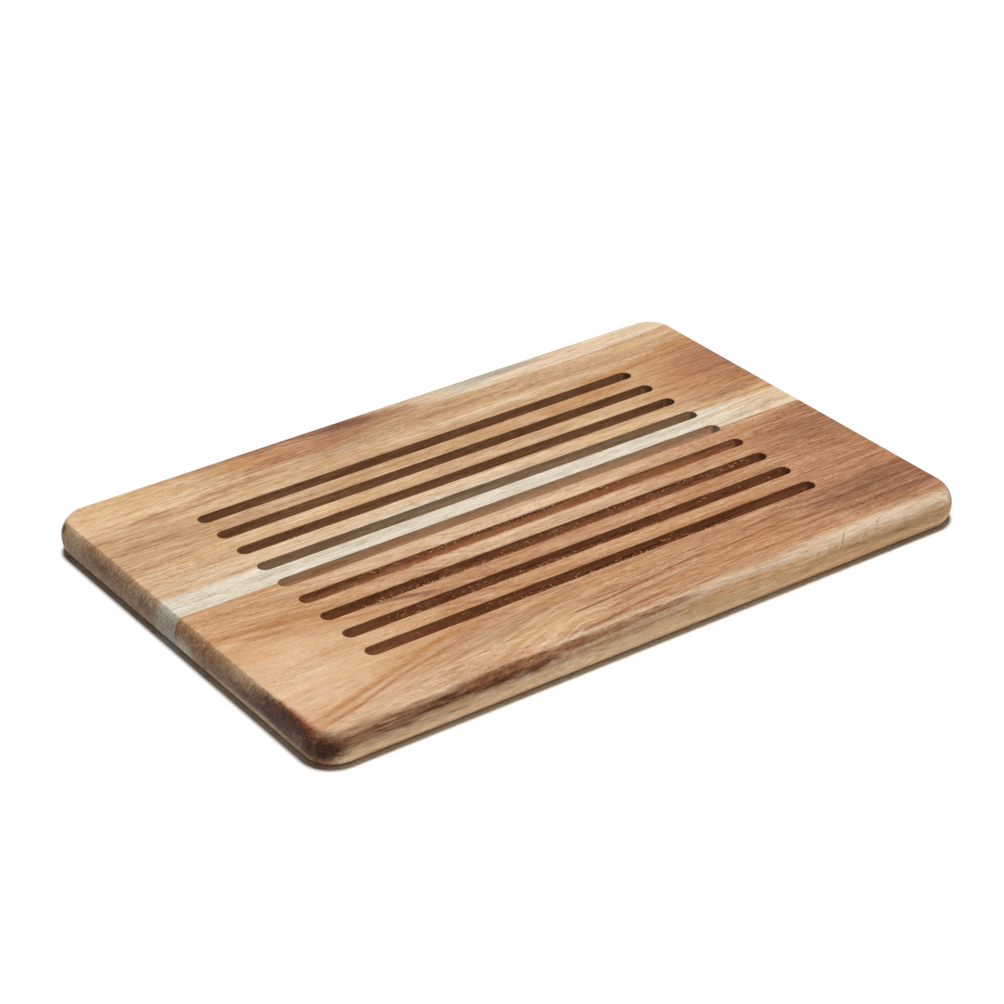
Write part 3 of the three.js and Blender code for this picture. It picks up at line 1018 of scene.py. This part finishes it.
def saw_along_joint(blank, sizes, offset, keep_rear):
    """Cuts the blank along the joint, this far from its middle, and keeps one side."""
    middle = (sizes.joint_left + sizes.joint_right) / 2
    slope = (sizes.joint_right - sizes.joint_left) / sizes.length
    towards_rear = Vector((-slope, 1, 0)).normalized()
    cut = bmesh.ops.bisect_plane(
        blank,
        geom=[*blank.verts, *blank.edges, *blank.faces],
        plane_co=(0, middle + offset, 0),
        plane_no=towards_rear,
        clear_inner=keep_rear,
        clear_outer=not keep_rear,
    )
    loop = [part for part in cut["geom_cut"] if isinstance(part, bmesh.types.BMEdge)]
    bmesh.ops.edgeloop_fill(blank, edges=loop)


def ring_of_groove(cutter, sizes, widen, height):
    """One level outline of a groove, widened all round."""
    radius = sizes.groove_width / 2
    verts = half_turned_circle(cutter, GROOVE_SIDES, radius + widen)
    reach = sizes.groove_length / 2 - radius
    for side in (1, -1):
        half = [vert for vert in verts if vert.co.x * side > 0]
        bmesh.ops.translate(cutter, vec=(side * reach, 0, 0), verts=half)
    bmesh.ops.translate(cutter, vec=(0, 0, height), verts=verts)
    return edges_of(verts)


def groove_cutters(sizes):
    """The router bit's path for every groove, as one object to cut with."""
    cutter = bmesh.new()
    top = sizes.thickness
    rings = [ring_of_groove(cutter, sizes, 0, top - sizes.groove_depth)]
    for widen, rise in RIM_STEPS:
        rings.append(ring_of_groove(cutter, sizes, widen * sizes.rim, top + rise * sizes.rim))
    bridge(cutter, rings)
    first = [*cutter.verts, *cutter.edges, *cutter.faces]
    middle = (sizes.groove_count - 1) / 2
    for number in range(1, sizes.groove_count):
        copy = bmesh.ops.duplicate(cutter, geom=first)["geom"]
        verts = [part for part in copy if isinstance(part, bmesh.types.BMVert)]
        bmesh.ops.translate(cutter, vec=(0, number * sizes.groove_pitch, 0), verts=verts)
    to_front = (0, -middle * sizes.groove_pitch, 0)
    bmesh.ops.translate(cutter, vec=to_front, verts=cutter.verts)
    bmesh.ops.recalc_face_normals(cutter, faces=cutter.faces)
    return object_from(cutter, "groove_cutters")


def object_from(mesh_work, name, material=None):
    """An object in the scene that holds a finished bmesh."""
    mesh = bpy.data.meshes.new(name)
    mesh_work.to_mesh(mesh)
    mesh_work.free()
    piece = bpy.data.objects.new(name, mesh)
    bpy.context.scene.collection.objects.link(piece)
    if material:
        mesh.materials.append(material)
    return piece


def rout(piece, sizes):
    """Cuts the crumb grooves out of a piece."""
    cutter = groove_cutters(sizes)
    boolean = piece.modifiers.new("Grooves", "BOOLEAN")
    boolean.operation = "DIFFERENCE"
    boolean.solver = "EXACT"
    boolean.object = cutter
    graph = bpy.context.evaluated_depsgraph_get()
    routed = bpy.data.meshes.new_from_object(piece.evaluated_get(graph))
    piece.modifiers.clear()
    solid = piece.data
    piece.data = routed
    bpy.data.meshes.remove(solid)
    routed.name = piece.name
    bpy.data.objects.remove(cutter)


def dress(piece, material):
    """Merges doubles, keeps the true edges sharp, rounds the rest and gives it its look."""
    work = bmesh.new()
    work.from_mesh(piece.data)
    bmesh.ops.remove_doubles(work, verts=work.verts, dist=SAME_PLACE)
    bmesh.ops.dissolve_degenerate(work, edges=work.edges, dist=SAME_PLACE)
    bmesh.ops.recalc_face_normals(work, faces=work.faces)
    for face in work.faces:
        face.smooth = True
    for edge in work.edges:
        edge.smooth = edge.is_manifold and edge.calc_face_angle(0) < SHARP_TURN
    loose = [edge for edge in work.edges if not edge.is_manifold]
    if loose:
        raise RuntimeError(f"{piece.name} has {len(loose)} open edges")
    work.to_mesh(piece.data)
    work.free()
    even = piece.modifiers.new("Even shading", "WEIGHTED_NORMAL")
    even.keep_sharp = True
    piece.data.materials.clear()
    piece.data.materials.append(material)


def plank(name, sizes, keep_rear, material, node):
    """Makes one plank of the board, sawn along the joint and routed."""
    blank = board_blank(sizes)
    half_glue = sizes.glue / 2
    saw_along_joint(blank, sizes, half_glue if keep_rear else -half_glue, keep_rear)
    piece = object_from(blank, name)
    rout(piece, sizes)
    dress(piece, material)
    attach(piece, "root")
    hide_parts(node)


def thread(work, places, radius):
    """A thin round fibre through a few places, which tapers to its tip."""
    last = len(places) - 1
    rings = []
    for number, place in enumerate(places):
        towards = places[min(number + 1, last)] - places[max(number - 1, 0)]
        turn = towards.to_track_quat("Z", "Y").to_matrix().to_4x4()
        circle = bmesh.ops.create_circle(
            work,
            segments=FIBRE_SIDES,
            radius=radius * (1 - FIBRE_TAPER * number / last) * MM,
            matrix=Matrix.Translation(place * MM) @ turn,
        )
        rings.append(edges_of(circle["verts"]))
    bridge(work, rings)


def torn_fibre(work, groove_middle, patch, chance):
    """One fibre that the router bit tore out of a groove's wall."""
    first, last, side, lowest, highest = patch
    wall = groove_middle + side * (GROOVE_HALF_WIDTH + FIBRE_ROOT)
    root = Vector((chance.uniform(first, last), wall, chance.uniform(lowest, highest)))
    aim = Vector((chance.uniform(-1, 1), -side * chance.uniform(0.5, 1), chance.uniform(-0.3, 0.6)))
    curl = Vector((chance.uniform(-0.5, 0.5), 0, chance.uniform(-0.3, 0.4)))
    length = chance.uniform(*FIBRE_LENGTH)
    places = [root + aim * length * share + curl * length * share**2 for share in FIBRE_BENDS]
    for place in places:
        place.z = min(place.z, BOARD_TOP + FIBRE_RISE)
    thread(work, places, chance.uniform(*FIBRE_RADIUS))


def fibre_piece(work, name, material):
    """A finished piece made of fibres."""
    bmesh.ops.recalc_face_normals(work, faces=work.faces)
    piece = object_from(work, name, material)
    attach(piece, "root")


# Operators


class BREADBOARD_OT_rear_plank(Operator):
    """Makes the rear plank with its share of the grooves"""

    bl_idname = "bread_board.rear_plank"
    bl_label = "Rear plank"

    def execute(self, context):
        sizes = context.scene.bread_board_sizes
        wood = plank_wood("rear_plank_wood", context.scene.bread_board_colours, REAR_FIGURE)
        plank("rear_plank_figured", sizes, True, wood, "rear_plank")
        return {"FINISHED"}


class BREADBOARD_OT_front_plank(Operator):
    """Makes the front plank with its share of the grooves"""

    bl_idname = "bread_board.front_plank"
    bl_label = "Front plank"

    def execute(self, context):
        sizes = context.scene.bread_board_sizes
        wood = plank_wood("front_plank_wood", context.scene.bread_board_colours, FRONT_FIGURE)
        plank("front_plank_figured", sizes, False, wood, "front_plank")
        return {"FINISHED"}


class BREADBOARD_OT_glue_line(Operator):
    """Makes the film of glue between the planks"""

    bl_idname = "bread_board.glue_line"
    bl_label = "Glue line"

    def execute(self, context):
        sizes = context.scene.bread_board_sizes
        blank = board_blank(sizes)
        saw_along_joint(blank, sizes, sizes.glue / 2, False)
        saw_along_joint(blank, sizes, -sizes.glue / 2, True)
        film = object_from(blank, "glue_line_film")
        rout(film, sizes)
        tint = context.scene.bread_board_colours.glue_film
        dress(film, cloudy_material("cured_glue", tint, 0.72, (9, 2), 4.0, 0.5))
        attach(film, "root")
        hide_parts("glue_line")
        return {"FINISHED"}


class BREADBOARD_OT_groove_fibres(Operator):
    """Makes the fibres that the router bit tore loose in the grooves"""

    bl_idname = "bread_board.groove_fibres"
    bl_label = "Groove fibres"

    def execute(self, context):
        sizes = context.scene.bread_board_sizes
        material = fibre_material("torn_wood", context.scene.bread_board_colours.torn)
        for groove in sorted({entry[0] for entry in GROOVE_FIBRES}):
            from_rear = (sizes.groove_count - 1) / 2 + 1 - groove
            middle = from_rear * sizes.groove_pitch * PER_METRE
            chance = random.Random(groove)
            work = bmesh.new()
            for number, *patch, count in GROOVE_FIBRES:
                if number == groove:
                    for _ in range(count):
                        torn_fibre(work, middle, patch, chance)
            for number, root, tip, radius in SPLINTERS:
                if number == groove:
                    root, tip = Vector(root), Vector(tip)
                    thread(work, [root, root.lerp(tip, 0.5) + SPLINTER_BEND, tip], radius)
            fibre_piece(work, f"groove_{groove}_fibres", material)
        return {"FINISHED"}


class BREADBOARD_OT_edge_curls(Operator):
    """Makes the curls of torn grain along the front edge"""

    bl_idname = "bread_board.edge_curls"
    bl_label = "Edge curls"

    def execute(self, context):
        material = fibre_material("torn_sapwood", context.scene.bread_board_colours.edge_cream)
        work = bmesh.new()
        for places in EDGE_CURLS:
            thread(work, [Vector(place) for place in places], CURL_RADIUS)
        fibre_piece(work, "edge_curls", material)
        return {"FINISHED"}


class BREADBOARD_OT_stage(Operator):
    """Makes the table, the light and the camera"""

    bl_idname = "bread_board.stage"
    bl_label = "Stage"

    def execute(self, context):
        make_floor(context.scene.bread_board_colours)
        make_light(context.scene, context.scene.bread_board_stage)
        make_camera(context.scene)
        return {"FINISHED"}


# Stage, in metres and degrees

WHITE = (1.0, 1.0, 1.0, 1.0)
TABLE_SIZE = 4.0
LAMP_SIZE = 1.5
LAMP_AZIMUTH = 25
LAMP_ELEVATION = 88
LAMP_DISTANCE = 6.0
CAMERA_PLACE = (-0.72197, -1.03348, 0.72604)
CAMERA_AIM = (0.49747, 0.71601, -0.48974)
CAMERA_ROLL = -1.009

# Focal length and sensor width in mm, and the nearest and farthest that the camera sees
CAMERA_LENS = 105.327
CAMERA_SENSOR = 36.0
CAMERA_NEAREST = 0.05
CAMERA_FARTHEST = 50.0


def make_floor(colours):
    """A pale table, which looks white to the camera and keeps the board's shadow."""
    work = bmesh.new()
    bmesh.ops.create_grid(work, x_segments=2, y_segments=2, size=TABLE_SIZE)
    material = bpy.data.materials.new("pale_table")
    table = Wiring(material)
    plain = table.add("ShaderNodeBsdfDiffuse")
    plain.inputs["Color"].default_value = paint(colours.floor)
    bright = table.add("ShaderNodeBsdfDiffuse")
    bright.inputs["Color"].default_value = WHITE
    table.finish_by_ray(plain.outputs[0], bright.outputs[0], "ShaderNodeOutputMaterial")
    floor = object_from(work, "table", material)


def make_light(scene, stage):
    """One large soft lamp nearly straight above, and dim surroundings."""
    lamp = bpy.data.lights.new("key_light", "AREA")
    lamp.energy = stage.key_power
    lamp.size = LAMP_SIZE
    lamp_object = bpy.data.objects.new("key_light", lamp)
    azimuth, elevation = math.radians(LAMP_AZIMUTH), math.radians(LAMP_ELEVATION)
    level = math.cos(elevation)
    place = Vector((level * math.cos(azimuth), level * math.sin(azimuth), math.sin(elevation)))
    lamp_object.location = LAMP_DISTANCE * place
    lamp_object.rotation_euler = (-place).to_track_quat("-Z", "Y").to_euler()
    scene.collection.objects.link(lamp_object)

    world = bpy.data.worlds.new("studio")
    scene.world = world
    room = Wiring(world)
    dim, white = (room.add("ShaderNodeBackground") for _ in range(2))
    for background, strength in ((dim, stage.fill), (white, 1.0)):
        background.inputs["Color"].default_value = WHITE
        background.inputs["Strength"].default_value = strength
    room.finish_by_ray(dim.outputs[0], white.outputs[0], "ShaderNodeOutputWorld")
    scene.view_settings.view_transform = "Standard"


def make_camera(scene):
    """The camera, at the photograph's place and angle."""
    lens = bpy.data.cameras.new("camera")
    lens.lens = CAMERA_LENS
    lens.sensor_width = CAMERA_SENSOR
    lens.clip_start = CAMERA_NEAREST
    lens.clip_end = CAMERA_FARTHEST
    camera = bpy.data.objects.new("camera", lens)
    aim = Vector(CAMERA_AIM).normalized()
    side = aim.cross(Vector((0, 0, 1))).normalized()
    rise = side.cross(aim)
    roll = math.radians(CAMERA_ROLL)
    right = side * math.cos(roll) + rise * math.sin(roll)
    up = right.cross(aim)
    turn = Matrix((right, up, -aim)).transposed()
    camera.matrix_world = Matrix.Translation(CAMERA_PLACE) @ turn.to_4x4()
    scene.collection.objects.link(camera)
    scene.camera = camera


class BREADBOARD_PT_panel(Panel):
    """Buttons that build the bread board"""

    bl_label = "Bread Board"
    bl_idname = "BREADBOARD_PT_panel"
    bl_space_type = "VIEW_3D"
    bl_region_type = "UI"
    bl_category = "Bread Board"

    def draw(self, context):
        for operator in OPERATORS:
            self.layout.operator(operator.bl_idname)


OPERATORS = (
    BREADBOARD_OT_rear_plank,
    BREADBOARD_OT_front_plank,
    BREADBOARD_OT_glue_line,
    BREADBOARD_OT_groove_fibres,
    BREADBOARD_OT_edge_curls,
    BREADBOARD_OT_stage,
)
SETTINGS = {
    "bread_board_sizes": BreadBoardSizes,
    "bread_board_colours": BreadBoardColours,
    "bread_board_stage": BreadBoardStage,
}


def register():
    """Makes the settings, operators and panel known."""
    for name, settings in SETTINGS.items():
        bpy.utils.register_class(settings)
        setattr(bpy.types.Scene, name, PointerProperty(type=settings))
    for operator in OPERATORS:
        bpy.utils.register_class(operator)
    bpy.utils.register_class(BREADBOARD_PT_panel)


def unregister():
    """Takes the panel, operators and settings away again."""
    bpy.utils.unregister_class(BREADBOARD_PT_panel)
    for operator in reversed(OPERATORS):
        bpy.utils.unregister_class(operator)
    for name, settings in SETTINGS.items():
        delattr(bpy.types.Scene, name)
        bpy.utils.unregister_class(settings)


def main():
    """Builds the bread board and its stage."""
    register()
    bpy.ops.bread_board.rear_plank()
    bpy.ops.bread_board.front_plank()
    bpy.ops.bread_board.glue_line()
    bpy.ops.bread_board.groove_fibres()
    bpy.ops.bread_board.edge_curls()
    bpy.ops.bread_board.stage()


if __name__ == "__main__":
    main()
